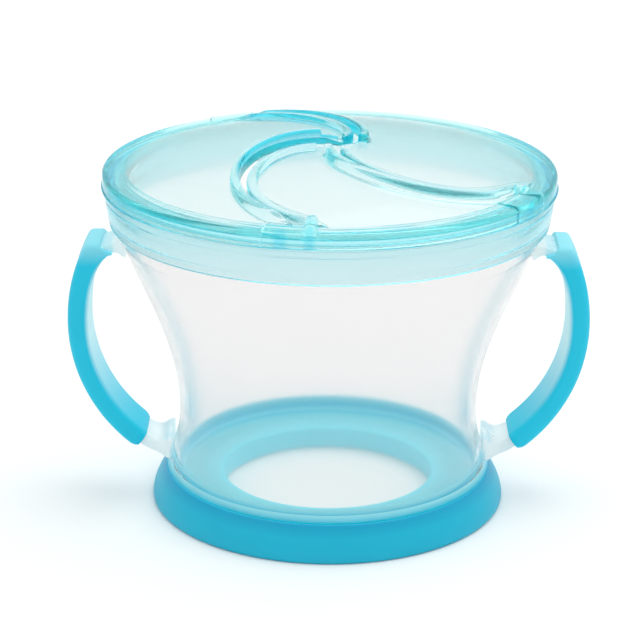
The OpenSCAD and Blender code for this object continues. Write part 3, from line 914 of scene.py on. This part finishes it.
def filling(loop, hinge):
    """Points spread inside a closed outline, with close rows along the hinge line."""
    a, b = np.array(hinge[0]), np.array(hinge[1])
    t = (b - a) / np.linalg.norm(b - a)
    n = np.array((-t[1], t[0]))
    offs = list(np.arange(-2.4, 2.41, 0.4))
    offs += [s * o for s in (-1, 1) for o in np.arange(3.3, 95, 1.15)]
    p = np.array([a + n * o + t * (x + 0.6 * (i % 2)) for i, o in enumerate(sorted(offs))
                  for x in np.arange(-50, 140, 1.2)])
    inside = np.zeros(len(p), bool)
    for c, d in zip(loop, np.roll(loop, -1, 0)):
        cross = (c[1] > p[:, 1]) != (d[1] > p[:, 1])
        inside ^= cross & (p[:, 0] < (d[0] - c[0]) * (p[:, 1] - c[1]) / (d[1] - c[1] + 1e-12) + c[0])
    p = p[inside]
    gap = np.min(np.linalg.norm(p[:, None] - loop[None], axis=2), 1)
    return p[gap > 0.5]


def plan_of_flap(k):
    """Plan points, rises over the membrane, painted light marks and faces of flap k."""
    a, rise_a, edge_a = raised_strip(LINES[k], side=-1, columns=LIP_COLUMNS, width=2.0, start=4.8,
                                     fade=4.0, left=0.45, about=LIPS[k])
    b, rise_b, edge_b = raised_strip(LINES[(k + 2) % 3], side=1, columns=RIB_COLUMNS, width=2.4,
                                     start=5.6, fade=6.0, left=0.5, about=RIBS[k])
    wide_a, wide_b = len(LIP_COLUMNS), len(RIB_COLUMNS)
    start_b = ROWS * wide_a
    start_arc = start_b + ROWS * wide_b
    faces = []
    for i in range(ROWS - 1):
        for j in range(wide_a - 1):
            v = i * wide_a + j
            faces.append((v, v + 1, v + wide_a + 1, v + wide_a))
        for j in range(wide_b - 1):
            v = start_b + i * wide_b + j
            faces.append((v, v + wide_b, v + wide_b + 1, v + 1))
    # The rest of the membrane lies between the two strips and an arc under the ledge.
    t0 = math.atan2(a[-1, -1, 1], a[-1, -1, 0])
    t1 = math.atan2(b[-1, -1, 1], b[-1, -1, 0])
    while t1 > t0:
        t1 -= 2 * math.pi
    angles = np.linspace(t0, t1, max(4, int(HOLD * (t0 - t1) / 0.8)))[1:-1]
    arc = HOLD * np.stack([np.cos(angles), np.sin(angles)], 1)
    loop = np.vstack([a[:, -1], arc, b[::-1, -1]])
    fill = filling(loop, HINGES[k])
    ids = [i * wide_a + wide_a - 1 for i in range(ROWS)]
    ids += [start_arc + i for i in range(len(arc))]
    ids += [start_b + i * wide_b + wide_b - 1 for i in range(ROWS - 1, -1, -1)]
    ids += [start_arc + len(arc) + i for i in range(len(fill))]
    flat = [Vector(p) for p in np.vstack([loop, fill])]
    made = delaunay_2d_cdt(flat, [], [list(range(len(loop)))], 1, 1e-7)
    triangles, came_from = made[2], made[3]
    for f in triangles:
        faces.append(tuple(ids[came_from[v][0]] for v in f))
    plan = np.vstack([a.reshape(-1, 2), b.reshape(-1, 2), arc, fill])
    rest = np.zeros(len(arc) + len(fill))
    rise = np.concatenate([rise_a.ravel(), rise_b.ravel(), rest])
    edge = np.concatenate([edge_a.ravel(), edge_b.ravel(), rest])
    facing_up = []
    for f in faces:
        c = plan[list(f)]
        area = sum(c[i][0] * c[i - 1][1] - c[i - 1][0] * c[i][1] for i in range(len(c)))
        facing_up.append(f if area < 0 else f[::-1])
    return plan, rise, edge, facing_up


def dome_height(xy):
    """Height of the membrane's upper face at points in plan."""
    return RIM + DOME * (1 - (np.linalg.norm(xy, axis=-1) / LEDGE) ** 2)


def hinge_frame(k):
    """Middle of hinge k, and the direction away from the flap."""
    a, b = np.array(HINGES[k][0]), np.array(HINGES[k][1])
    mid = (a + b) / 2
    along = (b - a) / np.linalg.norm(b - a)
    z = float(dome_height(mid)) - SKIN / 2
    return np.array((*mid, z)), np.array((-along[1], along[0]))


def flap(k, name, node):
    """One flap with its part of the membrane, as one closed solid."""
    plan, rise, edge, sheet_faces = plan_of_flap(k)
    top = np.column_stack([plan, dome_height(plan) + rise])
    under = np.column_stack([plan, dome_height(plan) - SKIN])
    mid, away = hinge_frame(k)
    sag, spread = math.radians(SAGS[k]), 2.2
    for sheet in (top, under):
        d = sheet - mid
        off = d[..., :2] @ away
        w = step((spread - off) / (2 * spread)) * sag
        z = d[..., 2].copy()
        sheet[..., 2] = mid[2] + z * np.cos(w) + off * np.sin(w)
        shift = (off * np.cos(w) - z * np.sin(w)) - off
        sheet[..., :2] += shift[..., None] * away
    verts = [tuple(v * MM) for v in top] + [tuple(v * MM) for v in under]
    low = len(top)
    faces = list(sheet_faces) + [tuple(low + v for v in f[::-1]) for f in sheet_faces]
    edges = {(u, v) for f in sheet_faces for u, v in zip(f, f[1:] + f[:1])}
    faces += [(v, u, low + u, low + v) for u, v in edges if (v, u) not in edges]
    mesh = bpy.data.meshes.new(name)
    mesh.from_pydata(verts, [], faces)
    mesh.materials.append(flap_paint)
    marks = mesh.attributes.new("edge", "FLOAT", "POINT")
    marks.data.foreach_set("value", np.concatenate([edge, np.zeros(low)]))
    obj = bpy.data.objects.new(name, mesh)
    bpy.context.collection.objects.link(obj)
    tidy(obj, 40)
    # The bend is spread over a short way on each side of the hinge line.
    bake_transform(obj)
    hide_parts(node)


flap(0, "soft_flap_left", "flap_left")
flap(1, "soft_flap_front", "flap_front")
flap(2, "soft_flap_back", "flap_back")
